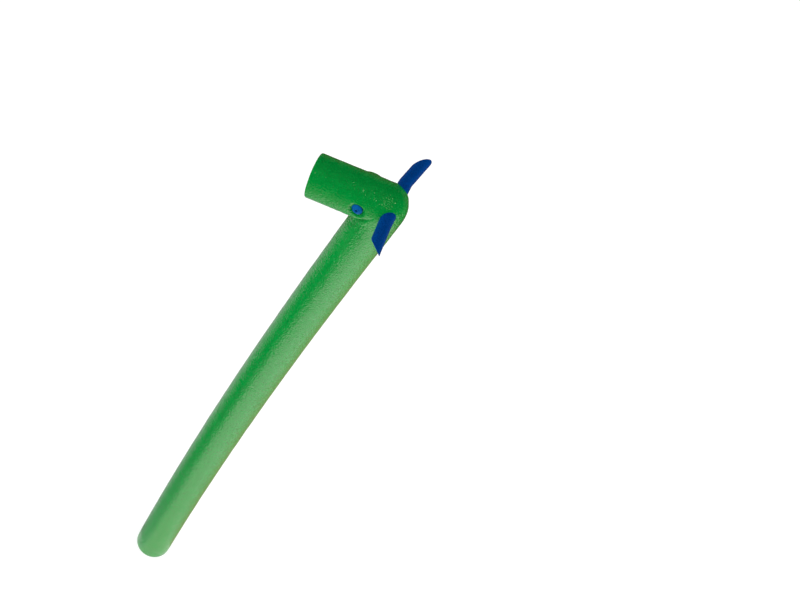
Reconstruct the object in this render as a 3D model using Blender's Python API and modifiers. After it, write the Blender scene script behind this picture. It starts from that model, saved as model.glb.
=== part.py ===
"""A foam pool noodle whose top is folded over into an animal's head.

Metres, +Z up. The noodle stands on its flat tail end, whose centre is the origin.
+X is the way the snout points and +Y is the animal's left. The centreline lies in the
XZ plane. A foam rod pushed crosswise through the fold makes both ears, and a two-part
press stud through the head makes both eyes.
"""
from math import cos, pi, radians, sin, tan

import bmesh
import bpy
from mathutils import Matrix, Vector

# Foam noodle
FOAM_DIAMETER = 0.070
BODY_LENGTH = 1.484  # along the centreline, from the tail end to the fold's corner
HEAD_LENGTH = 0.116  # from the fold's corner to the snout end
END_ROUNDING = 0.0025  # soft edge of both cut ends
BODY_LEAN = radians(3.4)  # how far the body curves back between the tail and the neck
FOLD_ANGLE = radians(76.0)  # between the head's and the neck's centrelines
FOLD_SQUARENESS = 3.25  # exponent: 1 gives a flat poll, more a squarer one
FOLD_BULGE = 0.0015  # extra half width where the folded foam is squeezed
INNER_RADIUS = 0.0025  # inside the fold, where the throat meets the neck
CREASE_DEPTH = 0.0045  # pinch on each side, from the throat to the ears
CREASE_WIDTH = 0.0060

# Ears
EAR_DIAMETER = 0.021
POLL_SKIN = 0.0074  # foam between the rod's hole and the poll
EAR_TIP_REACH = 0.0615  # long edge of an ear, from the foam's side
EAR_HEEL_REACH = 0.036  # short edge
EAR_SLANT_TURN = radians(11)  # how far the long edge lies from the poll towards the back

# Eyes
EYE_DIAMETER = 0.020
EYE_SETBACK = 0.0140  # stud axis behind the place where the head runs straight
EYE_RISE = 0.007  # above the head's centreline
EYE_SINK = 0.0046  # depth of the flat seat below the foam's side
EYE_RIM_THICKNESS = 0.0030
EYE_CROWN = 0.0009  # rise of the domed face from rim to boss
EYE_EDGE_ROUNDING = 0.0008
BOSS_DIAMETER = 0.0096
BOSS_HEIGHT = 0.0013
EYE_HOLE_DIAMETER = 0.0044
EYE_HOLE_DEPTH = 0.0032
STEM_DIAMETER = 0.0090
PLUG_DIAMETER = 0.0060
SOCKET_END = -0.012  # where the socket stem stops, measured along +Y from the mid plane
PLUG_END = 0.012  # where the plug stops inside the socket

# Fits and cuts
CLEARANCE = 0.0003
CUT_OVERRUN = 0.010  # how far a cutter runs past the surface that it opens

# Facets
FOAM_SIDES = 48
BODY_RINGS = 24
HEAD_RINGS = 4
FOLD_RINGS = 8  # on each side of the crease
ROD_SIDES = 40
EYE_SIDES = 40

# Finish: colour, roughness
FINISHES = {
    "green_foam": ((0.006, 0.270, 0.045), 0.85),
    "navy_foam": ((0.004, 0.032, 0.230), 0.80),
    "blue_plastic": ((0.008, 0.080, 0.400), 0.35),
}

FOAM_RADIUS = FOAM_DIAMETER / 2
EAR_RADIUS = EAR_DIAMETER / 2
ACROSS = Vector((0.0, 1.0, 0.0))


def clear_scene():
    """Take away every object that the scene starts with."""
    for item in list(bpy.data.objects):
        bpy.data.objects.remove(item, do_unlink=True)


def new_collection(name):
    group = bpy.data.collections.new(name)
    bpy.context.scene.collection.children.link(group)
    return group


def finish(name):
    """A material made from one entry of the finish table."""
    colour, roughness = FINISHES[name]
    material = bpy.data.materials.new(name)
    material.use_nodes = True
    shader = material.node_tree.nodes["Principled BSDF"]
    shader.inputs["Base Color"].default_value = (*colour, 1.0)
    shader.inputs["Roughness"].default_value = roughness
    shader.inputs["Metallic"].default_value = 0.0
    return material


def add_object(name, mesh, group, parent=None):
    item = bpy.data.objects.new(name, mesh)
    group.objects.link(item)
    item.parent = parent
    return item


def as_cutter(item):
    item.hide_render = True
    item.display_type = "WIRE"
    return item


def cut(item, cutter):
    """Subtract a cutter from an object with a live Boolean."""
    modifier = item.modifiers.new(cutter.name, "BOOLEAN")
    modifier.operation = "DIFFERENCE"
    modifier.solver = "EXACT"
    modifier.object = cutter


def shade_round(mesh):
    mesh.shade_smooth()
    mesh.set_sharp_from_angle(angle=radians(40))


# Centreline of the noodle


def fold_run():
    """Length of neck or head, beside the corner, that the fold takes up."""
    return (FOAM_RADIUS + INNER_RADIUS) / tan(FOLD_ANGLE / 2)


def body_point(run):
    """Point and upward direction at a distance along the body's centreline."""
    arc_length = BODY_LENGTH - fold_run()
    bend_radius = arc_length / BODY_LEAN
    turn = min(run, arc_length) / bend_radius
    upward = Vector((-sin(turn), 0.0, cos(turn)))
    point = Vector((-bend_radius * (1 - cos(turn)), 0.0, bend_radius * sin(turn)))
    return point + upward * max(run - arc_length, 0.0), upward


def fold_frame():
    """Corner, neck direction, head direction and the direction from throat to poll."""
    corner, upward = body_point(BODY_LENGTH)
    forward = ACROSS.cross(upward)
    fold_turn = pi - FOLD_ANGLE
    snoutward = upward * cos(fold_turn) + forward * sin(fold_turn)
    pollward = (upward - snoutward).normalized()
    return corner, upward, snoutward, pollward


def ring(inner, outward, depth, half_width):
    """An oval section: its inner point, the way it grows, its depth and half width."""
    centre = inner + outward * (depth / 2)
    points = []
    for step in range(FOAM_SIDES):
        angle = 2 * pi * step / FOAM_SIDES
        along = -outward * cos(angle) * (depth / 2)
        points.append(centre + along + ACROSS * sin(angle) * half_width)
    return points


def round_ring(centre, backward, radius):
    return ring(centre - backward * radius, backward, 2 * radius, radius)


def end_steps():
    """Insets and radii of the rings that soften a cut end, from the face inwards."""
    steps = []
    for share in (0.0, 0.33, 0.67, 1.0):
        inset = END_ROUNDING * (1 - cos(share * pi / 2))
        steps.append((inset, FOAM_RADIUS - END_ROUNDING * (1 - sin(share * pi / 2))))
    return steps


def body_rings():
    """Sections from the tail end to the start of the fold."""
    rings = []
    for inset, radius in end_steps():
        centre, upward = body_point(inset)
        rings.append(round_ring(centre, upward.cross(ACROSS), radius))
    run = BODY_LENGTH - fold_run() - END_ROUNDING
    for step in range(1, BODY_RINGS):
        centre, upward = body_point(END_ROUNDING + run * step / BODY_RINGS)
        rings.append(round_ring(centre, upward.cross(ACROSS), FOAM_RADIUS))
    return rings


def fold_turns():
    """Turns of the fold's sections about its hinge line, closer beside the crease."""
    half_turn = (pi - FOLD_ANGLE) / 2
    crease_turn = CREASE_WIDTH / 2 / FOAM_DIAMETER
    first_half = [half_turn * step / FOLD_RINGS for step in range(FOLD_RINGS)]
    first_half.append(half_turn - crease_turn)
    return first_half + [half_turn] + [2 * half_turn - turn for turn in reversed(first_half)]


def fold_depth(turn):
    """Depth of a section that leans by a turn: two straight backs, blended at the poll."""
    fold_turn = pi - FOLD_ANGLE
    neck_share = max(cos(turn), 0.0) ** FOLD_SQUARENESS
    head_share = max(cos(fold_turn - turn), 0.0) ** FOLD_SQUARENESS
    reach = FOAM_DIAMETER + INNER_RADIUS
    return reach / (neck_share + head_share) ** (1 / FOLD_SQUARENESS) - INNER_RADIUS


def throat_reach():
    """From the fold's corner to the hinge line in the throat."""
    return (FOAM_RADIUS + INNER_RADIUS) / sin(FOLD_ANGLE / 2)


def ear_from_corner():
    """From the fold's corner to the rod's axis, towards the poll."""
    poll = fold_depth((pi - FOLD_ANGLE) / 2) + INNER_RADIUS - throat_reach()
    return poll - POLL_SKIN - CLEARANCE - EAR_RADIUS


def pinched(points, hinge, outward, strength):
    """Draw a section in on both sides between the throat and the ear rod."""
    reach = throat_reach() + ear_from_corner()
    moved = []
    for point in points:
        share = (point - hinge).dot(outward) / reach
        pull = CREASE_DEPTH / FOAM_RADIUS * strength * min(max(2 - 2 * share, 0.0), 1.0)
        moved.append(Vector((point.x, point.y * (1 - pull), point.z)))
    return moved


def fold_rings():
    """Sections that turn about the hinge line in the throat, from neck to head."""
    corner, upward, _, pollward = fold_frame()
    backward = upward.cross(ACROSS)
    hinge = corner - pollward * throat_reach()
    half_turn = (pi - FOLD_ANGLE) / 2
    rings = []
    for turn in fold_turns():
        outward = backward * cos(turn) + upward * sin(turn)
        squeeze = sin(pi * turn / (2 * half_turn)) ** 2
        half_width = FOAM_RADIUS + FOLD_BULGE * squeeze
        points = ring(hinge + outward * INNER_RADIUS, outward, fold_depth(turn), half_width)
        if turn == half_turn:
            points = pinched(points, hinge, outward, 1.0)
        rings.append(points)
    return rings


def head_rings():
    """Sections from the end of the fold to the snout."""
    corner, _, snoutward, _ = fold_frame()
    topward = snoutward.cross(ACROSS)
    start = fold_run()
    run = HEAD_LENGTH - END_ROUNDING - start
    rings = []
    for step in range(1, HEAD_RINGS):
        centre = corner + snoutward * (start + run * step / HEAD_RINGS)
        rings.append(round_ring(centre, topward, FOAM_RADIUS))
    for inset, radius in reversed(end_steps()):
        centre = corner + snoutward * (HEAD_LENGTH - inset)
        rings.append(round_ring(centre, topward, radius))
    return rings


def loft(name, rings):
    """Skin a list of like-numbered rings and cap both ends."""
    shape = bmesh.new()
    rows = [[shape.verts.new(point) for point in points] for points in rings]
    count = len(rows[0])
    for lower, upper in zip(rows, rows[1:]):
        for step in range(count):
            after = (step + 1) % count
            shape.faces.new((lower[step], lower[after], upper[after], upper[step]))
    shape.faces.new(rows[0])
    shape.faces.new(rows[-1])
    bmesh.ops.recalc_face_normals(shape, faces=shape.faces)
    mesh = bpy.data.meshes.new(name)
    shape.to_mesh(mesh)
    shape.free()
    return mesh


# Frames of the two crosswise pieces


def axis_frame(name, place, sideward, group):
    """An empty on a crosswise axis: its Z runs along +Y, its X the given way."""
    empty = bpy.data.objects.new(name, None)
    group.objects.link(empty)
    rows = Matrix((sideward, ACROSS.cross(sideward), ACROSS)).transposed()
    empty.matrix_world = Matrix.Translation(place) @ rows.to_4x4()
    return empty


def cylinder(name, radius, low, high, sides, group, parent):
    """A capped cylinder along the parent's Z, from one height to another."""
    shape = bmesh.new()
    middle = Matrix.Translation((0.0, 0.0, (low + high) / 2))
    bmesh.ops.create_cone(
        shape, cap_ends=True, segments=sides, radius1=radius, radius2=radius,
        depth=high - low, matrix=middle,
    )
    mesh = bpy.data.meshes.new(name)
    shape.to_mesh(mesh)
    shape.free()
    return add_object(name, mesh, group, parent)


def slope_block(name, side, group, parent):
    """A block whose flat face cuts an ear's end at a slant, long edge near the poll."""
    slant_rise = EAR_TIP_REACH - EAR_HEEL_REACH
    slant = Vector((EAR_DIAMETER, 0.0, slant_rise))
    middle = Vector((0.0, 0.0, FOAM_RADIUS + (EAR_TIP_REACH + EAR_HEEL_REACH) / 2))
    size = 2 * (slant.length + CUT_OVERRUN)
    normal = Vector((-slant_rise, 0.0, EAR_DIAMETER)).normalized()
    normal.rotate(Matrix.Rotation(-side * EAR_SLANT_TURN, 3, "Z"))
    shape = bmesh.new()
    bmesh.ops.create_cube(shape, size=size)
    tilt = Vector((0.0, 0.0, 1.0)).rotation_difference(normal).to_matrix().to_4x4()
    bmesh.ops.transform(
        shape, verts=shape.verts, matrix=Matrix.Translation(middle + normal * size / 2) @ tilt
    )
    mesh = bpy.data.meshes.new(name)
    shape.to_mesh(mesh)
    shape.free()
    block = add_object(name, mesh, group, parent)
    if side < 0:
        block.rotation_euler = (pi, 0.0, 0.0)
    return as_cutter(block)


def turned(name, profile, group, parent):
    """Turn a profile of radius and height pairs, run down its outer side, about Z."""
    mesh = bpy.data.meshes.new(name)
    points = [(radius, 0.0, height) for radius, height in profile]
    mesh.from_pydata(points, [(i, i + 1) for i in range(len(points) - 1)], [])
    item = add_object(name, mesh, group, parent)
    screw = item.modifiers.new("turn", "SCREW")
    screw.axis = "Z"
    screw.steps = EYE_SIDES
    screw.render_steps = EYE_SIDES
    screw.use_merge_vertices = True
    screw.merge_threshold = 0.00001
    screw.use_smooth_shade = True
    return item


def eye_face(seat):
    """Profile of an eye's outside, from the centre of its blind hole to its stem."""
    rim_top = seat + EYE_RIM_THICKNESS
    boss_foot = rim_top + EYE_CROWN
    boss_top = boss_foot + BOSS_HEIGHT
    eye_radius = EYE_DIAMETER / 2
    bevel = EYE_EDGE_ROUNDING
    return [
        (0.0, boss_top - EYE_HOLE_DEPTH),
        (EYE_HOLE_DIAMETER / 2, boss_top - EYE_HOLE_DEPTH),
        (EYE_HOLE_DIAMETER / 2, boss_top - bevel / 2),
        (EYE_HOLE_DIAMETER / 2 + bevel / 2, boss_top),
        (BOSS_DIAMETER / 2 - bevel, boss_top),
        (BOSS_DIAMETER / 2, boss_foot),
        (eye_radius - 2 * bevel, rim_top + bevel / 4),
        (eye_radius - bevel / 2, rim_top - bevel / 2),
        (eye_radius, rim_top - 2 * bevel),
        (eye_radius, seat + bevel / 2),
        (eye_radius - bevel / 2, seat),
        (STEM_DIAMETER / 2, seat),
    ]


def build_foam(group, cutters, ear_axis, eye_axis):
    """The folded noodle, with the holes and flat seats that the other pieces sit in."""
    skin = loft("noodle_foam", body_rings() + fold_rings() + head_rings())
    foam = add_object("noodle_foam", skin, group)
    foam.data.materials.append(finish("green_foam"))
    shade_round(foam.data)
    past = FOAM_RADIUS + FOLD_BULGE + CUT_OVERRUN
    seat = FOAM_RADIUS - EYE_SINK
    rod_hole = EAR_RADIUS + CLEARANCE
    stem_hole = STEM_DIAMETER / 2 + CLEARANCE
    eye_seat = EYE_DIAMETER / 2 + CLEARANCE
    holes = [
        cylinder("rod_hole", rod_hole, -past, past, ROD_SIDES, cutters, ear_axis),
        cylinder("stem_hole", stem_hole, -past, past, EYE_SIDES, cutters, eye_axis),
        cylinder("left_seat", eye_seat, seat, past, EYE_SIDES, cutters, eye_axis),
        cylinder("right_seat", eye_seat, -past, -seat, EYE_SIDES, cutters, eye_axis),
    ]
    for hole in holes:
        cut(foam, as_cutter(hole))


def build_ears(group, cutters, ear_axis):
    """One rod through the fold, cut at a slant at both ends."""
    reach = FOAM_RADIUS + EAR_TIP_REACH
    rod = cylinder("ear_rod", EAR_RADIUS, -reach, reach, ROD_SIDES, group, ear_axis)
    rod.data.materials.append(finish("navy_foam"))
    shade_round(rod.data)
    for name, side in (("left_slant", 1), ("right_slant", -1)):
        cut(rod, slope_block(name, side, cutters, ear_axis))


def build_eyes(group, eye_axis):
    """The left eye carries the socket and the right eye the plug that presses into it."""
    plastic = finish("blue_plastic")
    seat = FOAM_RADIUS - EYE_SINK + CLEARANCE
    stem = STEM_DIAMETER / 2
    bore = PLUG_DIAMETER / 2 + CLEARANCE
    socket = eye_face(seat) + [
        (stem, SOCKET_END), (bore, SOCKET_END), (bore, PLUG_END + CLEARANCE),
        (0.0, PLUG_END + CLEARANCE),
    ]
    shoulder = -SOCKET_END + CLEARANCE
    plug = eye_face(seat) + [
        (stem, shoulder), (PLUG_DIAMETER / 2, shoulder), (PLUG_DIAMETER / 2, -PLUG_END),
        (0.0, -PLUG_END),
    ]
    left = turned("eye_left", socket, group, eye_axis)
    right = turned("eye_right", plug, group, eye_axis)
    right.rotation_euler = (pi, 0.0, 0.0)
    for eye in (left, right):
        eye.data.materials.append(plastic)


def build():
    clear_scene()
    parts = new_collection("pool_noodle")
    cutters = new_collection("cutters")
    corner, _, snoutward, pollward = fold_frame()
    topward = snoutward.cross(ACROSS)
    ear_axis = axis_frame("ear_axis", corner + pollward * ear_from_corner(), pollward, parts)
    eye_place = corner + snoutward * (fold_run() - EYE_SETBACK) + topward * EYE_RISE
    eye_axis = axis_frame("eye_axis", eye_place, snoutward, parts)
    build_foam(parts, cutters, ear_axis, eye_axis)
    build_ears(parts, cutters, ear_axis)
    build_eyes(parts, eye_axis)


build()
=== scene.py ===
"""A foam pool noodle folded into an animal's head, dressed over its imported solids.

Metres, +Z up, in the frame of the solids: the noodle stands on its tail end, +X is the
way the snout points and +Y is the animal's left, which faces the camera.
"""
from math import cos, exp, hypot, pi, radians, sin, tan

import bmesh
import bpy
from mathutils import Matrix, Vector, noise


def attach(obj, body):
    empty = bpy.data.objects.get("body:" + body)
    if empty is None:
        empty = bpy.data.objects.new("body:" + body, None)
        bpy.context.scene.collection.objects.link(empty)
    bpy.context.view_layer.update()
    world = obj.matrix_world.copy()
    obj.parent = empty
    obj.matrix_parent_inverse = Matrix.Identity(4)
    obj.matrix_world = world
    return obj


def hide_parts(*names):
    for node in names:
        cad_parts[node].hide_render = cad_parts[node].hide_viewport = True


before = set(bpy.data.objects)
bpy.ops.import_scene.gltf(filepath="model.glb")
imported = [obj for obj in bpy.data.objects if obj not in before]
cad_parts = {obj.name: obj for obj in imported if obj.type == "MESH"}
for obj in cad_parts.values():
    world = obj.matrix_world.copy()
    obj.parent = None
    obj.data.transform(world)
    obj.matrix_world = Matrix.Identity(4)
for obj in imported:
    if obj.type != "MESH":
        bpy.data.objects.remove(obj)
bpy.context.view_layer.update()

# Foam noodle, the sizes of the solids
FOAM_RADIUS = 0.035
BODY_LENGTH = 1.484
HEAD_LENGTH = 0.116
END_ROUNDING = 0.0025
BODY_LEAN = radians(3.4)
FOLD_ANGLE = radians(76.0)
FOLD_SQUARENESS = 3.25
FOLD_BULGE = 0.0015
INNER_RADIUS = 0.0025

# Ears
EAR_RADIUS = 0.0105
POLL_SKIN = 0.0074
EAR_TIP_REACH = 0.0615
EAR_HEEL_REACH = 0.036
EAR_SLANT_TURN = radians(11)
EAR_EDGE = 0.0007
NEAR_EAR_LEAN = 0.059  # shift towards the back, for each length of ear past its bend
FAR_EAR_LEAN = 0.214
BEND_START = 0.002  # from the foam's side
BEND_LENGTH = 0.008
ROOT_REACH = 0.004  # end of the smooth stretch of rod, from the foam's side
ROD_SIDES = 96
FACE_RINGS = 8
EDGE_RINGS = 4
EAR_RINGS = 34
CORE_RINGS = 12
CLEARANCE = 0.0003
ROD_PLAY = 0.00015

# Eyes
EYE_RADIUS = 0.010
EYE_RIM = 0.0088
EYE_SETBACK = 0.0140
EYE_RISE = 0.007
EYE_SINK = 0.0046
EYE_THICKNESS = 0.0031
SEAT_PLAY = 0.0005
NEAR_EYE_TILT = (0.12, 0.17)  # fall of the face towards the snout and towards the top
FAR_EYE_TILT = (0.0, 0.15)
TILT_START = 0.0004  # above the seat; below it the eye stays square to its stem
TILT_RISE = 0.0028
STEM_RADIUS = 0.0045
PLUG_RADIUS = 0.003
STEM_SPLIT = 0.012  # from the mid plane to where each stem ends
EYE_SIDES = 96

# Skin of the foam
BODY_PITCH = 0.0036
FOLD_RINGS = 96
HEAD_PITCH = 0.0026
FOAM_SIDES = 144
CAP_RINGS = 12
END_RINGS = 6
CREASE_TURN = radians(60)
CREASE_DEPTH = 0.0050
CREASE_WIDTH = 0.0030
CREASE_END = 1.55  # the crease fades out on the way from the throat to the ears
CREASE_FADE = 1.9
DIMPLE_RADIUS = 0.0145
DIMPLE_LIP = 0.0011
DIMPLE_TILT = 0.4  # share of the eye's tilt that the dimple follows
NEAR_PUCKER = (0.0006, 0.0)  # all round the eye, and above it only
FAR_PUCKER = (0.0, 0.0015)
PUCKER_GAP = 0.0024  # from the eye's edge
PUCKER_WIDTH = 0.0026
ABOVE_EDGE = 0.5  # sine of the angle over the eye where "above it" starts
ABOVE_BLEND = 0.4
AXIS_GUARD = 0.001  # keeps that sine finite on the eye's own axis
MOUTH_WIDTH = 0.0120
MOUTH_SWELL = 0.0022
CORE_REACH = 0.015  # nearer the mid plane nothing is pressed
WRINKLE_REACH = 0.045
WRINKLE_PITCH = 0.0075
WRINKLE_HEIGHT = 0.0006
THROAT_EDGE = 0.85  # cosine of the turn from the throat-to-poll line to the first wrinkle
THROAT_BLEND = 0.3
FOOT_HEIGHT = 0.004  # the lumps fade out below it, so that the tail's face is flat
FOOT_SHARE = 0.4
CUT_REACH = 0.06
FOAM_SHARP = radians(50)
EAR_SHARP = radians(60)
EYE_SHARP = radians(55)

# Unevenness of extruded foam: scale, share and offset of each layer
LUMP_LAYERS = (
    (21.0, 0.55, (0.0, 0.0, 0.0)),
    (62.0, 0.30, (7.0, 3.0, 1.0)),
    (170.0, 0.22, (2.0, 9.0, 4.0)),
)
FOAM_LUMPS = 0.00042
EAR_LUMPS = 0.0004
EAR_LUMP_OFFSET = (3.0, 1.0, 2.0)
EAR_LUMP_RUN = 0.006

# Finish of the foam: scales per metre, bumps as strength and height in metres
NOISE_RANGE = (0.3, 0.7)  # where nearly all values of a noise lie
MOTTLE_SCALE = 90.0
MOTTLE_RANGE = (0.32, 0.68)
PATCH_SCALE = 9.0
PATCH_SHADE = 0.35
FLECK_START = 0.72
PIT_RANGE = (0.35, 0.85)
PIT_SHADE = 0.25
PIT_TONE = 0.55
PORES_PER_GRAIN = 2.7
PORE_HEIGHT = 0.35
CELL_EDGE = 0.8
FOAM_ROUGHNESS = (0.10, 0.16)
GRAIN_BUMP = (0.10, 0.0005)
LUMP_BUMP = (0.67, 0.0018)

# Finish of the eyes
CLOUD_SCALE = 300.0
SCUFF_SCALE = 1400.0
PLASTIC_ROUGHNESS = (0.22, 0.42)
SCUFF_BUMP = (0.25, 0.0001)

# Camera, fitted to the photograph
CAMERA_PLACE = (0.07379, 1.68429, 3.91187)
CAMERA_RIGHT = (-0.879615, -0.365200, 0.304806)
CAMERA_DOWN = (-0.470710, 0.760689, -0.446972)
CAMERA_FORWARD = (-0.068629, -0.536638, -0.841017)
CAMERA_LENS = 90.9
SENSOR_WIDTH = 36.0
CAMERA_REACH = 100.0

# Lamps, with their powers in watts
SKY_HEIGHT = 5.0
SKY_SIZE = 7.0
SKY_POWER = 90.0
SIDE_DISTANCE = 4.0
SIDE_HEIGHT = 2.0
SIDE_TARGET = (0.0, 0.0, 0.9)
SIDE_SIZE = 2.5
SIDE_POWERS = (75.0, 75.0, 25.0, 75.0)  # clockwise from +Y, seen from above
SPARK_PLACE = (-0.745, 0.857, 3.76)
SPARK_TARGET = (-0.049, 0.015, 1.512)
SPARK_SIZE = 0.50
SPARK_POWER = 4.0

# Floor and backdrop
FLOOR_SIZE = 14.0  # from its middle to each side
FLOOR_DROP = 0.0005
FLOOR_SCALE = 3.0
FLOOR_GREYS = (0.38, 0.42)
FLOOR_ROUGHNESS = (0.8, 0.9)
FLOOR_GLOW = 0.80
BACKDROP = (0.93, 0.93, 0.93, 1.0)

# Cards just over the floor that only reflections see; their glow is painted reflection:
# green-tinted near the foot for the noodle's own bounce off the floor, dark or dim where
# the surroundings are in shade. A card is a wedge round the noodle: near and far edge,
# first and last turn in degrees from +Y towards -X, glow.
CARD_LIFT = 0.0002
WEDGE_STEPS = 16
CARDS = {
    "black_card": (0.25, 11.0, -114, -28, (0.0, 0.0, 0.0)),
    "middle_card": (0.13, 0.25, -114, -30, (0.12, 0.12, 0.12)),
    "near_card": (0.04, 0.13, -114, -32, (0.35, 0.35, 0.35)),
    "front_card": (0.95, 11.0, -28, 16, (0.35, 0.35, 0.35)),
    "base_card": (0.037, 0.13, -30, 95, (0.75, 0.94, 0.65)),
    "foot_card": (0.13, 0.25, -28, 95, (0.82, 0.98, 0.75)),
    "shin_card": (0.25, 0.50, -28, 95, (0.95, 1.03, 0.90)),
    "warm_card": (0.04, 0.95, 95, 165, (0.48, 0.43, 0.22)),
    "grey_card": (0.04, 0.95, 165, 246, (0.60, 0.60, 0.60)),
    "back_card": (0.95, 11.0, 95, 246, (0.10, 0.07, 0.03)),
}

# A small dark card under the head, seen only by reflections too: painted shade in the
# reflections on the head's underside
FLAG_X = (-0.015, 0.120)
FLAG_Y = (0.037, 0.065)
FLAG_HEIGHT = 1.34
FLAG_GLOW = (0.12, 0.12, 0.12)

ACROSS = Vector((0.0, 1.0, 0.0))


# Centreline and sections


def fold_run():
    """Length of neck or head, beside the corner, that the fold takes up."""
    return (FOAM_RADIUS + INNER_RADIUS) / tan(FOLD_ANGLE / 2)


def throat_reach():
    """From the fold's corner to the hinge line in the throat."""
    return (FOAM_RADIUS + INNER_RADIUS) / sin(FOLD_ANGLE / 2)


def body_point(run):
    """Point and upward direction at a distance along the body's centreline."""
    arc_length = BODY_LENGTH - fold_run()
    bend_radius = arc_length / BODY_LEAN
    turn = min(run, arc_length) / bend_radius
    upward = Vector((-sin(turn), 0.0, cos(turn)))
    point = Vector((-bend_radius * (1 - cos(turn)), 0.0, bend_radius * sin(turn)))
    return point + upward * max(run - arc_length, 0.0), upward


CORNER, NECK_UP = body_point(BODY_LENGTH)
FOLD_TURN = pi - FOLD_ANGLE
SNOUTWARD = NECK_UP * cos(FOLD_TURN) + ACROSS.cross(NECK_UP) * sin(FOLD_TURN)
POLLWARD = (NECK_UP - SNOUTWARD).normalized()
TOPWARD = SNOUTWARD.cross(ACROSS)
BACKWARD = NECK_UP.cross(ACROSS)
HINGE = CORNER - POLLWARD * throat_reach()


def fold_depth(turn):
    """Depth of a section that leans by a turn: two straight backs, blended at the poll."""
    neck_share = max(cos(turn), 0.0) ** FOLD_SQUARENESS
    head_share = max(cos(FOLD_TURN - turn), 0.0) ** FOLD_SQUARENESS
    reach = 2 * FOAM_RADIUS + INNER_RADIUS
    return reach / (neck_share + head_share) ** (1 / FOLD_SQUARENESS) - INNER_RADIUS


POLL = fold_depth(FOLD_TURN / 2) + INNER_RADIUS - throat_reach()
EAR_AXIS = CORNER + POLLWARD * (POLL - POLL_SKIN - CLEARANCE - EAR_RADIUS)
EYE_AXIS = CORNER + SNOUTWARD * (fold_run() - EYE_SETBACK) + TOPWARD * EYE_RISE
SEAT = FOAM_RADIUS - EYE_SINK


def smooth(value):
    """Ease from 0 to 1, level at both ends."""
    value = min(max(value, 0.0), 1.0)
    return value * value * (3 - 2 * value)


def ring(inner, outward, depth, half_width):
    """An oval section: its inner point, the way it grows, its depth and half width."""
    centre = inner + outward * (depth / 2)
    points = []
    for step in range(FOAM_SIDES):
        angle = 2 * pi * step / FOAM_SIDES
        along = -outward * cos(angle) * (depth / 2)
        points.append(centre + along + ACROSS * sin(angle) * half_width)
    return points


def round_ring(centre, backward, radius):
    return ring(centre - backward * radius, backward, 2 * radius, radius)


def end_steps():
    """Insets and radii of the rings that soften a cut end, from the face inwards."""
    steps = []
    for number in range(END_RINGS):
        angle = pi / 2 * number / (END_RINGS - 1)
        inset = END_ROUNDING * (1 - cos(angle))
        steps.append((inset, FOAM_RADIUS - END_ROUNDING * (1 - sin(angle))))
    return steps


def cap_radii():
    """Radii of the rings on a cut face, from the centre outwards."""
    face = FOAM_RADIUS - END_ROUNDING
    return [face * number / CAP_RINGS for number in range(1, CAP_RINGS)]


def body_rings():
    rings = []
    _, upward = body_point(0.0)
    for radius in cap_radii():
        rings.append(round_ring(Vector(), upward.cross(ACROSS), radius))
    for inset, radius in end_steps():
        centre, upward = body_point(inset)
        rings.append(round_ring(centre, upward.cross(ACROSS), radius))
    run = BODY_LENGTH - fold_run() - END_ROUNDING
    count = round(run / BODY_PITCH)
    for step in range(1, count):
        centre, upward = body_point(END_ROUNDING + run * step / count)
        rings.append(round_ring(centre, upward.cross(ACROSS), FOAM_RADIUS))
    return rings


def creased(point, turn):
    """Draw a point in where the folded foam closes on itself at the side."""
    outward = BACKWARD * cos(turn) + NECK_UP * sin(turn)
    radial = (point - HINGE).dot(outward)
    share = radial / (EAR_AXIS - HINGE).length
    off_line = radial * (turn - CREASE_TURN) / CREASE_WIDTH
    fade = smooth(CREASE_END - CREASE_FADE * share)
    pull = CREASE_DEPTH / FOAM_RADIUS * exp(-off_line * off_line) * fade
    return Vector((point.x, point.y * (1 - pull), point.z))


def fold_rings():
    """Sections that turn about the hinge line in the throat, from neck to head."""
    rings = []
    for step in range(FOLD_RINGS + 1):
        turn = FOLD_TURN * step / FOLD_RINGS
        outward = BACKWARD * cos(turn) + NECK_UP * sin(turn)
        half_width = FOAM_RADIUS + FOLD_BULGE * sin(pi * turn / FOLD_TURN) ** 2
        points = ring(HINGE + outward * INNER_RADIUS, outward, fold_depth(turn), half_width)
        rings.append([creased(point, turn) for point in points])
    return rings


def head_rings():
    start = fold_run()
    run = HEAD_LENGTH - END_ROUNDING - start
    count = round(run / HEAD_PITCH)
    rings = []
    for step in range(1, count):
        centre = CORNER + SNOUTWARD * (start + run * step / count)
        rings.append(round_ring(centre, TOPWARD, FOAM_RADIUS))
    for inset, radius in reversed(end_steps()):
        centre = CORNER + SNOUTWARD * (HEAD_LENGTH - inset)
        rings.append(round_ring(centre, TOPWARD, radius))
    for radius in reversed(cap_radii()):
        rings.append(round_ring(CORNER + SNOUTWARD * HEAD_LENGTH, TOPWARD, radius))
    return rings


# Meshes


def closed_loft(name, rings, first, last):
    """Skin a list of like-numbered rings and close both ends on a middle point."""
    sides = len(rings[0])
    points = [point for row in rings for point in row] + [first, last]
    faces = []
    for row in range(len(rings) - 1):
        for step in range(sides):
            after = (step + 1) % sides
            low, high = row * sides, (row + 1) * sides
            faces.append((low + step, low + after, high + after, high + step))
    top = (len(rings) - 1) * sides
    for step in range(sides):
        after = (step + 1) % sides
        faces.append((after, step, len(points) - 2))
        faces.append((top + step, top + after, len(points) - 1))
    mesh = bpy.data.meshes.new(name)
    mesh.from_pydata(points, [], faces)
    shape = bmesh.new()
    shape.from_mesh(mesh)
    bmesh.ops.recalc_face_normals(shape, faces=shape.faces)
    shape.to_mesh(mesh)
    shape.free()
    mesh.shade_smooth()
    return mesh


def add_object(name, mesh):
    item = bpy.data.objects.new(name, mesh)
    bpy.context.scene.collection.objects.link(item)
    return item


def cross_frame(place, sideward):
    """A frame on a crosswise axis: its Z runs along +Y, its X the given way."""
    rows = Matrix((sideward, ACROSS.cross(sideward), ACROSS)).transposed()
    return Matrix.Translation(place) @ rows.to_4x4()


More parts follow.
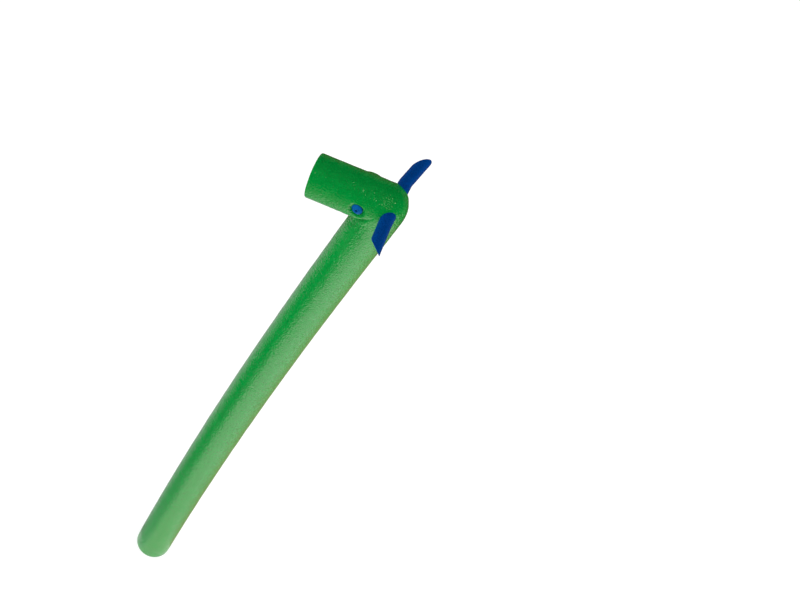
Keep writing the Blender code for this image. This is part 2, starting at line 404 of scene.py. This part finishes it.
def cutter(name, radius, low, high, place):
    """A crosswise cylinder from one distance to another along +Y."""
    shape = bmesh.new()
    middle = Matrix.Translation((0.0, 0.0, (low + high) / 2))
    bmesh.ops.create_cone(
        shape, cap_ends=True, segments=ROD_SIDES, radius1=radius, radius2=radius,
        depth=high - low, matrix=cross_frame(place, POLLWARD) @ middle,
    )
    mesh = bpy.data.meshes.new(name)
    shape.to_mesh(mesh)
    shape.free()
    return add_object(name, mesh)


def carve(item, cutters):
    """Subtract the cutters from an object for good."""
    for tool in cutters:
        modifier = item.modifiers.new(tool.name, "BOOLEAN")
        modifier.operation = "DIFFERENCE"
        modifier.solver = "EXACT"
        modifier.object = tool
    depsgraph = bpy.context.evaluated_depsgraph_get()
    mesh = bpy.data.meshes.new_from_object(item.evaluated_get(depsgraph))
    item.modifiers.clear()
    item.data = mesh
    for tool in cutters:
        bpy.data.objects.remove(tool, do_unlink=True)


def lumps(point, size):
    """Slow and quick unevenness of extruded foam, in metres."""
    total = 0.0
    for scale, share, offset in LUMP_LAYERS:
        total += share * noise.noise(point * scale + Vector(offset))
    return size * total


def pressed(point):
    """Foam drawn in and puckered round the eyes, and swollen round the ears."""
    side = 1 if point.y > 0 else -1
    reach = abs(point.y)
    if reach < CORE_REACH:
        return point
    tilt, pucker = (NEAR_EYE_TILT, NEAR_PUCKER) if side > 0 else (FAR_EYE_TILT, FAR_PUCKER)
    gap = point - EYE_AXIS
    eye_gap = hypot(gap.x, gap.z)
    off_rim = (eye_gap - EYE_RADIUS - PUCKER_GAP) / PUCKER_WIDTH
    if eye_gap < DIMPLE_RADIUS:
        share = smooth((DIMPLE_RADIUS - eye_gap) / (DIMPLE_RADIUS - EYE_RADIUS))
        fall = tilt[0] * gap.dot(SNOUTWARD) + tilt[1] * gap.dot(TOPWARD)
        reach += share * (SEAT + DIMPLE_LIP - DIMPLE_TILT * fall - reach)
    rise = gap.dot(TOPWARD) / max(eye_gap, AXIS_GUARD)
    above = smooth((rise - ABOVE_EDGE) / ABOVE_BLEND)
    reach += (pucker[0] + pucker[1] * above) * exp(-off_rim * off_rim)
    ear_gap = hypot(point.x - EAR_AXIS.x, point.z - EAR_AXIS.z) - EAR_RADIUS
    if ear_gap < MOUTH_WIDTH:
        reach += MOUTH_SWELL * smooth(1 - max(ear_gap, 0.0) / MOUTH_WIDTH)
    return Vector((point.x, side * reach, point.z))


def throat_wrinkle(point):
    """Small folds that run crosswise where the throat is squeezed shut."""
    gap = point - HINGE
    reach = hypot(gap.x, gap.z)
    if reach > WRINKLE_REACH:
        return 0.0
    wave = sin(reach * 2 * pi / WRINKLE_PITCH)
    return WRINKLE_HEIGHT * wave * smooth(1 - reach / WRINKLE_REACH)


def foam_skin():
    """The folded noodle with its lumps and wrinkles, and the holes for rod and stud."""
    snout_middle = CORNER + SNOUTWARD * HEAD_LENGTH
    rings = body_rings() + fold_rings() + head_rings()
    mesh = closed_loft("foam_skin", rings, Vector(), snout_middle)
    normals = [vertex.normal.copy() for vertex in mesh.vertices]
    for vertex, normal in zip(mesh.vertices, normals):
        point = vertex.co.copy()
        lift = lumps(point, FOAM_LUMPS)
        if point.z < FOOT_HEIGHT:
            lift = abs(lift) * -FOOT_SHARE * smooth(point.z / FOOT_HEIGHT)
        pollward = (point - HINGE).normalized().dot(POLLWARD)
        if abs(point.y) < FOAM_RADIUS and pollward < THROAT_EDGE:
            lift += throat_wrinkle(point) * smooth((THROAT_EDGE - pollward) / THROAT_BLEND)
        vertex.co = pressed(point + normal * lift)
    foam = add_object("foam_skin", mesh)
    carve(foam, [
        cutter("rod_hole", EAR_RADIUS + ROD_PLAY, -CUT_REACH, CUT_REACH, EAR_AXIS),
        cutter("stem_hole", STEM_RADIUS + CLEARANCE, -CUT_REACH, CUT_REACH, EYE_AXIS),
        cutter("left_seat", EYE_RADIUS + SEAT_PLAY, SEAT, CUT_REACH, EYE_AXIS),
        cutter("right_seat", EYE_RADIUS + SEAT_PLAY, -CUT_REACH, -SEAT, EYE_AXIS),
    ])
    foam.data.set_sharp_from_angle(angle=FOAM_SHARP)
    return foam


def ear_end_ring(radius, inset):
    """A ring on the slanted end of the left ear, in the rod's own frame."""
    middle_reach = FOAM_RADIUS + (EAR_TIP_REACH + EAR_HEEL_REACH) / 2
    slope = (EAR_TIP_REACH - EAR_HEEL_REACH) / (2 * EAR_RADIUS)
    points = []
    for step in range(ROD_SIDES):
        angle = 2 * pi * step / ROD_SIDES
        x, y = radius * cos(angle), radius * sin(angle)
        rise = slope * (x * cos(EAR_SLANT_TURN) - y * sin(EAR_SLANT_TURN))
        points.append(Vector((x, y, middle_reach + rise - inset)))
    return points


def left_ear_rings(root):
    """Rings of the left ear, from the middle of its slanted end to its root."""
    rings = []
    for number in range(1, FACE_RINGS + 1):
        rings.append(ear_end_ring((EAR_RADIUS - EAR_EDGE) * number / FACE_RINGS, 0.0))
    for number in range(1, EDGE_RINGS + 1):
        angle = pi / 2 * number / EDGE_RINGS
        radius = EAR_RADIUS - EAR_EDGE * (1 - sin(angle))
        rings.append(ear_end_ring(radius, EAR_EDGE * 2 * (1 - cos(angle))))
    outer = rings[-1]
    for number in range(1, EAR_RINGS + 1):
        share = number / EAR_RINGS
        rings.append([Vector((p.x, p.y, p.z + (root - p.z) * share)) for p in outer])
    return rings


def leaned(point):
    """A point of the rod, moved towards the back where an ear leans."""
    beyond = abs(point.y) - FOAM_RADIUS - BEND_START
    if beyond <= 0:
        return point
    lean = NEAR_EAR_LEAN if point.y > 0 else FAR_EAR_LEAN
    run = beyond ** 2 / (2 * BEND_LENGTH) if beyond <= BEND_LENGTH else beyond - BEND_LENGTH / 2
    return point + BACKWARD * (lean * run)


def ear_rod():
    """A foam rod cut at a slant at both ends, the long edge to the poll."""
    root = FOAM_RADIUS + ROOT_REACH
    left = left_ear_rings(root)
    core = []
    for number in range(1, CORE_RINGS):
        z = root * (1 - 2 * number / CORE_RINGS)
        core.append([Vector((p.x, p.y, z)) for p in left[-1]])
    right = [[Vector((p.x, p.y, -p.z)) for p in row] for row in reversed(left)]
    middle = Vector((0.0, 0.0, FOAM_RADIUS + (EAR_TIP_REACH + EAR_HEEL_REACH) / 2))
    mesh = closed_loft("ear_foam", left + core + right, middle, -middle)
    normals = [vertex.normal.copy() for vertex in mesh.vertices]
    for vertex, normal in zip(mesh.vertices, normals):
        point = vertex.co.copy()
        outside = smooth((abs(point.z) - root) / EAR_LUMP_RUN)
        dent = abs(lumps(point + Vector(EAR_LUMP_OFFSET), EAR_LUMPS))
        vertex.co = point - normal * dent * outside
    mesh.transform(cross_frame(EAR_AXIS, POLLWARD))
    for vertex in mesh.vertices:
        vertex.co = leaned(vertex.co)
    mesh.set_sharp_from_angle(angle=EAR_SHARP)
    return add_object("ear_foam", mesh)


def eye_profile(seat):
    """Outside of an eye, from the centre of its blind hole out and down to its stem.

    Pairs of radius and height: the hole, the boss round it, the domed face, the worn rim,
    the underside and the start of the stem.
    """
    top = seat + EYE_THICKNESS
    profile = [(0.0, top - 0.0032), (0.0013, top - 0.0032), (0.0020, top - 0.0028)]
    profile += [(0.0022, top - 0.0010), (0.0023, top + 0.0016), (0.0025, top + 0.0020)]
    profile += [(0.0028, top + 0.0022), (0.0039, top + 0.0022), (0.0043, top + 0.0020)]
    profile += [(0.00455, top + 0.0016), (0.0048, top + 0.0010), (0.0052, top + 0.00075)]
    profile += [(0.0060, top + 0.00058), (0.0067, top + 0.00030), (0.0074, top - 0.0001)]
    profile += [(EYE_RIM - 0.0009, top - 0.0006), (EYE_RIM - 0.0004, top - 0.0012)]
    profile += [(EYE_RIM, top - 0.0020), (EYE_RIM, seat + 0.0006)]
    profile += [(EYE_RIM - 0.0001, seat + 0.0003), (EYE_RIM - 0.0003, seat)]
    profile += [(0.0052, seat), (STEM_RADIUS + 0.0002, seat - 0.0002)]
    profile += [(STEM_RADIUS, seat - 0.0006)]
    return profile


def turned(name, profile, flip):
    """Turn a profile that starts and ends on the axis about the eyes' crosswise axis."""
    rings = []
    for radius, height in profile[1:-1]:
        row = []
        for step in range(EYE_SIDES):
            angle = 2 * pi * step / EYE_SIDES
            row.append(Vector((radius * cos(angle), radius * sin(angle), height)))
        rings.append(row)
    first, last = Vector((0.0, 0.0, profile[0][1])), Vector((0.0, 0.0, profile[-1][1]))
    mesh = closed_loft(name, rings, first, last)
    tilt, topward = (FAR_EYE_TILT, 1) if flip else (NEAR_EYE_TILT, -1)
    for vertex in mesh.vertices:
        raised = smooth((vertex.co.z - SEAT - TILT_START) / TILT_RISE)
        vertex.co.z -= (tilt[0] * vertex.co.x + tilt[1] * topward * vertex.co.y) * raised
    if flip:
        mesh.transform(Matrix.Rotation(pi, 4, "X"))
    mesh.transform(cross_frame(EYE_AXIS, SNOUTWARD))
    mesh.set_sharp_from_angle(angle=EYE_SHARP)
    return add_object(name, mesh)


def eye_pair():
    """The left eye ends in the socket of the press stud, the right eye in its plug."""
    seat = SEAT + CLEARANCE
    bore = PLUG_RADIUS + CLEARANCE
    socket = eye_profile(seat) + [
        (STEM_RADIUS, -STEM_SPLIT), (bore, -STEM_SPLIT), (bore, STEM_SPLIT + CLEARANCE),
        (0.0, STEM_SPLIT + CLEARANCE),
    ]
    plug = eye_profile(seat) + [
        (STEM_RADIUS, STEM_SPLIT + CLEARANCE), (PLUG_RADIUS, STEM_SPLIT + CLEARANCE),
        (PLUG_RADIUS, -STEM_SPLIT), (0.0, -STEM_SPLIT),
    ]
    return turned("eye_stud_left", socket, False), turned("eye_stud_right", plug, True)


# Materials


class Shader:
    """A node material under construction."""

    def __init__(self, name):
        self.material = bpy.data.materials.new(name)
        self.material.use_nodes = True
        self.tree = self.material.node_tree
        self.surface = self.tree.nodes["Principled BSDF"]
        self.place = self.tree.nodes.new("ShaderNodeTexCoord").outputs["Object"]

    def link(self, source, target):
        self.tree.links.new(source, target)

    def noise(self, scale, detail=3.0, roughness=0.55):
        node = self.tree.nodes.new("ShaderNodeTexNoise")
        node.inputs["Scale"].default_value = scale
        node.inputs["Detail"].default_value = detail
        node.inputs["Roughness"].default_value = roughness
        self.link(self.place, node.inputs["Vector"])
        return node.outputs["Fac"]

    def cells(self, scale):
        node = self.tree.nodes.new("ShaderNodeTexVoronoi")
        node.inputs["Scale"].default_value = scale
        self.link(self.place, node.inputs["Vector"])
        return node.outputs

    def remap(self, value, low, high, new_low=0.0, new_high=1.0):
        node = self.tree.nodes.new("ShaderNodeMapRange")
        node.inputs["From Min"].default_value = low
        node.inputs["From Max"].default_value = high
        node.inputs["To Min"].default_value = new_low
        node.inputs["To Max"].default_value = new_high
        self.link(value, node.inputs["Value"])
        return node.outputs["Result"]

    def add(self, first, second):
        node = self.tree.nodes.new("ShaderNodeMath")
        node.operation = "ADD"
        self.link(first, node.inputs[0])
        self.link(second, node.inputs[1])
        return node.outputs[0]

    def mix(self, factor, first, second):
        node = self.tree.nodes.new("ShaderNodeMix")
        node.data_type = "RGBA"
        sockets = [item for item in node.inputs if item.type == "RGBA"]
        self.link(factor, node.inputs[0])
        for socket, value in zip(sockets, (first, second)):
            if isinstance(value, tuple):
                socket.default_value = (*value, 1.0)
            else:
                self.link(value, socket)
        return [item for item in node.outputs if item.type == "RGBA"][0]

    def bump(self, height, strength, distance, under=None):
        node = self.tree.nodes.new("ShaderNodeBump")
        node.inputs["Strength"].default_value = strength
        node.inputs["Distance"].default_value = distance
        self.link(height, node.inputs["Height"])
        if under is not None:
            self.link(under, node.inputs["Normal"])
        return node.outputs["Normal"]

    def set(self, **values):
        for name, value in values.items():
            self.surface.inputs[name.replace("_", " ")].default_value = value


def foam_material(name, deep, mid, pale, pale_amount, cell_scale, lump_scale, shine):
    """Closed-cell foam: grains with soft pits between them and a few bright ones."""
    shader = Shader(name)
    grain = shader.cells(cell_scale)
    pores = shader.cells(cell_scale * PORES_PER_GRAIN)
    mottle = shader.noise(MOTTLE_SCALE, 5.0, 0.6)
    patches = shader.noise(PATCH_SCALE)
    base = shader.mix(shader.remap(mottle, *MOTTLE_RANGE), deep, mid)
    base = shader.mix(shader.remap(patches, *NOISE_RANGE, 0.0, PATCH_SHADE), base, deep)
    brightness = shader.tree.nodes.new("ShaderNodeSeparateColor")
    shader.link(grain["Color"], brightness.inputs[0])
    fleck = shader.remap(brightness.outputs[0], FLECK_START, 1.0, 0.0, pale_amount)
    base = shader.mix(fleck, base, pale)
    pit = shader.remap(grain["Distance"], *PIT_RANGE, 0.0, PIT_SHADE)
    base = shader.mix(pit, base, tuple(part * PIT_TONE for part in deep))
    shader.link(base, shader.surface.inputs["Base Color"])
    rough = shader.remap(mottle, *NOISE_RANGE, *FOAM_ROUGHNESS)
    shader.link(rough, shader.surface.inputs["Roughness"])
    round_grain = shader.remap(grain["Distance"], 0.0, CELL_EDGE, 1.0, 0.0)
    round_pores = shader.remap(pores["Distance"], 0.0, CELL_EDGE, PORE_HEIGHT, 0.0)
    normal = shader.bump(shader.add(round_grain, round_pores), *GRAIN_BUMP)
    normal = shader.bump(shader.noise(lump_scale, 0.0), *LUMP_BUMP, normal)
    shader.link(normal, shader.surface.inputs["Normal"])
    shader.set(Specular_IOR_Level=shine)
    return shader


def green_foam():
    shader = foam_material(
        "green_foam_cells",
        deep=(0.0003, 0.302, 0.042), mid=(0.0005, 0.340, 0.049), pale=(0.006, 0.395, 0.072),
        pale_amount=0.4, cell_scale=430.0, lump_scale=365.0, shine=0.75,
    )
    shader.set(Specular_Tint=(1.0, 0.98, 0.64, 1.0))
    return shader.material


def navy_foam():
    shader = foam_material(
        "navy_foam_cells",
        deep=(0.0002, 0.051, 0.255), mid=(0.0003, 0.061, 0.305), pale=(0.001, 0.085, 0.390),
        pale_amount=0.35, cell_scale=620.0, lump_scale=420.0, shine=0.08,
    )
    return shader.material


def blue_plastic():
    """Moulded plastic, slightly cloudy and finely scuffed all over."""
    shader = Shader("blue_plastic_moulded")
    cloud = shader.remap(shader.noise(CLOUD_SCALE, 4.0), *NOISE_RANGE)
    scuff = shader.noise(SCUFF_SCALE, 5.0, 0.7)
    base = shader.mix(cloud, (0.0008, 0.100, 0.330), (0.0010, 0.120, 0.400))
    shader.link(base, shader.surface.inputs["Base Color"])
    rough = shader.remap(scuff, *NOISE_RANGE, *PLASTIC_ROUGHNESS)
    shader.link(rough, shader.surface.inputs["Roughness"])
    shader.link(shader.bump(scuff, *SCUFF_BUMP), shader.surface.inputs["Normal"])
    shader.set(Specular_IOR_Level=0.06)
    return shader.material


def floor_material():
    """A pale floor with a glow of its own, so that it stays white far from the lamps."""
    shader = Shader("pale_floor")
    tone = shader.remap(shader.noise(FLOOR_SCALE), *NOISE_RANGE)
    darker, paler = [(grey, grey, grey) for grey in FLOOR_GREYS]
    base = shader.mix(tone, darker, paler)
    shader.link(base, shader.surface.inputs["Base Color"])
    rough = shader.remap(tone, 0.0, 1.0, *FLOOR_ROUGHNESS)
    shader.link(rough, shader.surface.inputs["Roughness"])
    shader.set(Emission_Color=(1.0, 1.0, 1.0, 1.0), Emission_Strength=FLOOR_GLOW)
    return shader.material


# Setting


def add_floor():
    mesh = bpy.data.meshes.new("floor")
    corners = [(-1, -1), (1, -1), (1, 1), (-1, 1)]
    points = [(FLOOR_SIZE * x, FLOOR_SIZE * y, -FLOOR_DROP) for x, y in corners]
    mesh.from_pydata(points, [], [(0, 1, 2, 3)])
    floor = add_object("floor", mesh)
    mesh.materials.append(floor_material())


def wedge(near, far, first, last):
    """Pairs of points along the near and far edges of a wedge of the floor, in degrees."""
    points = []
    for number in range(WEDGE_STEPS + 1):
        turn = radians(first + (last - first) * number / WEDGE_STEPS)
        points.append((-near * sin(turn), near * cos(turn), CARD_LIFT))
        points.append((-far * sin(turn), far * cos(turn), CARD_LIFT))
    return points


def add_card(name, points, glow):
    """A level card that only reflections see, glowing as a painted reflection, skinned between
    pairs of points.
    """
    faces = [(i, i + 1, i + 3, i + 2) for i in range(0, len(points) - 2, 2)]
    mesh = bpy.data.meshes.new(name)
    mesh.from_pydata(points, [], faces)
    shader = Shader(name)
    shader.set(Base_Color=(0.0, 0.0, 0.0, 1.0), Specular_IOR_Level=0.0, Roughness=1.0)
    shader.set(Emission_Color=(*glow, 1.0), Emission_Strength=1.0)
    mesh.materials.append(shader.material)
    card = add_object(name, mesh)
    card.visible_camera = False
    card.visible_diffuse = False
    card.visible_shadow = False


def add_cards():
    for name, (near, far, first, last, glow) in CARDS.items():
        add_card(name, wedge(near, far, first, last), glow)
    flag = [(x, y, FLAG_HEIGHT) for x in FLAG_X for y in FLAG_Y]
    add_card("flag", flag, FLAG_GLOW)


def add_light(name, place, target, size, power):
    """A round lamp that lights the part but is seen by no reflection."""
    data = bpy.data.lights.new(name, "AREA")
    data.shape = "DISK"
    data.size = size
    data.energy = power
    lamp = add_object(name, data)
    lamp.location = place
    direction = Vector(target) - Vector(place)
    lamp.rotation_euler = direction.to_track_quat("-Z", "Y").to_euler()
    lamp.visible_camera = False
    lamp.visible_glossy = False
    return lamp


def add_lights():
    """Soft light from above and from four sides, and one small lamp that does glint."""
    add_light("sky", (0.0, 0.0, SKY_HEIGHT), (0.0, 0.0, 0.0), SKY_SIZE, SKY_POWER)
    for number, power in enumerate(SIDE_POWERS):
        turn = pi / 2 * number
        place = (SIDE_DISTANCE * sin(turn), SIDE_DISTANCE * cos(turn), SIDE_HEIGHT)
        add_light("side_" + str(number), place, SIDE_TARGET, SIDE_SIZE, power)
    spark = add_light("spark", SPARK_PLACE, SPARK_TARGET, SPARK_SIZE, SPARK_POWER)
    spark.visible_glossy = True


def add_world():
    """A pale backdrop for the camera that sheds no light."""
    world = bpy.data.worlds.new("studio")
    bpy.context.scene.world = world
    world.use_nodes = True
    tree = world.node_tree
    backdrop = tree.nodes["Background"]
    backdrop.inputs["Color"].default_value = BACKDROP
    path = tree.nodes.new("ShaderNodeLightPath")
    tree.links.new(path.outputs["Is Camera Ray"], backdrop.inputs["Strength"])


def add_camera():
    data = bpy.data.cameras.new("camera")
    data.lens = CAMERA_LENS
    data.sensor_width = SENSOR_WIDTH
    data.sensor_fit = "HORIZONTAL"
    data.clip_end = CAMERA_REACH
    camera = add_object("camera", data)
    right, down, forward = Vector(CAMERA_RIGHT), Vector(CAMERA_DOWN), Vector(CAMERA_FORWARD)
    turn = Matrix((right, -down, -forward)).transposed().to_4x4()
    camera.matrix_world = Matrix.Translation(CAMERA_PLACE) @ turn
    bpy.context.scene.camera = camera


def dress(piece, body, node, material):
    """Put a piece on its body in place of its plain solid."""
    piece.data.materials.clear()
    piece.data.materials.append(material)
    for face in piece.data.polygons:
        face.material_index = 0
    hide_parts(node)
    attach(piece, body)


def build():
    foam = foam_skin()
    rod = ear_rod()
    left, right = eye_pair()
    dress(foam, "noodle", "noodle_foam", green_foam())
    dress(rod, "ears", "ear_rod", navy_foam())
    plastic = blue_plastic()
    dress(left, "eyes", "eye_left", plastic)
    dress(right, "eyes", "eye_right", plastic)
    add_floor()
    add_cards()
    add_lights()
    add_world()
    add_camera()
    bpy.context.scene.view_settings.view_transform = "Standard"


build()
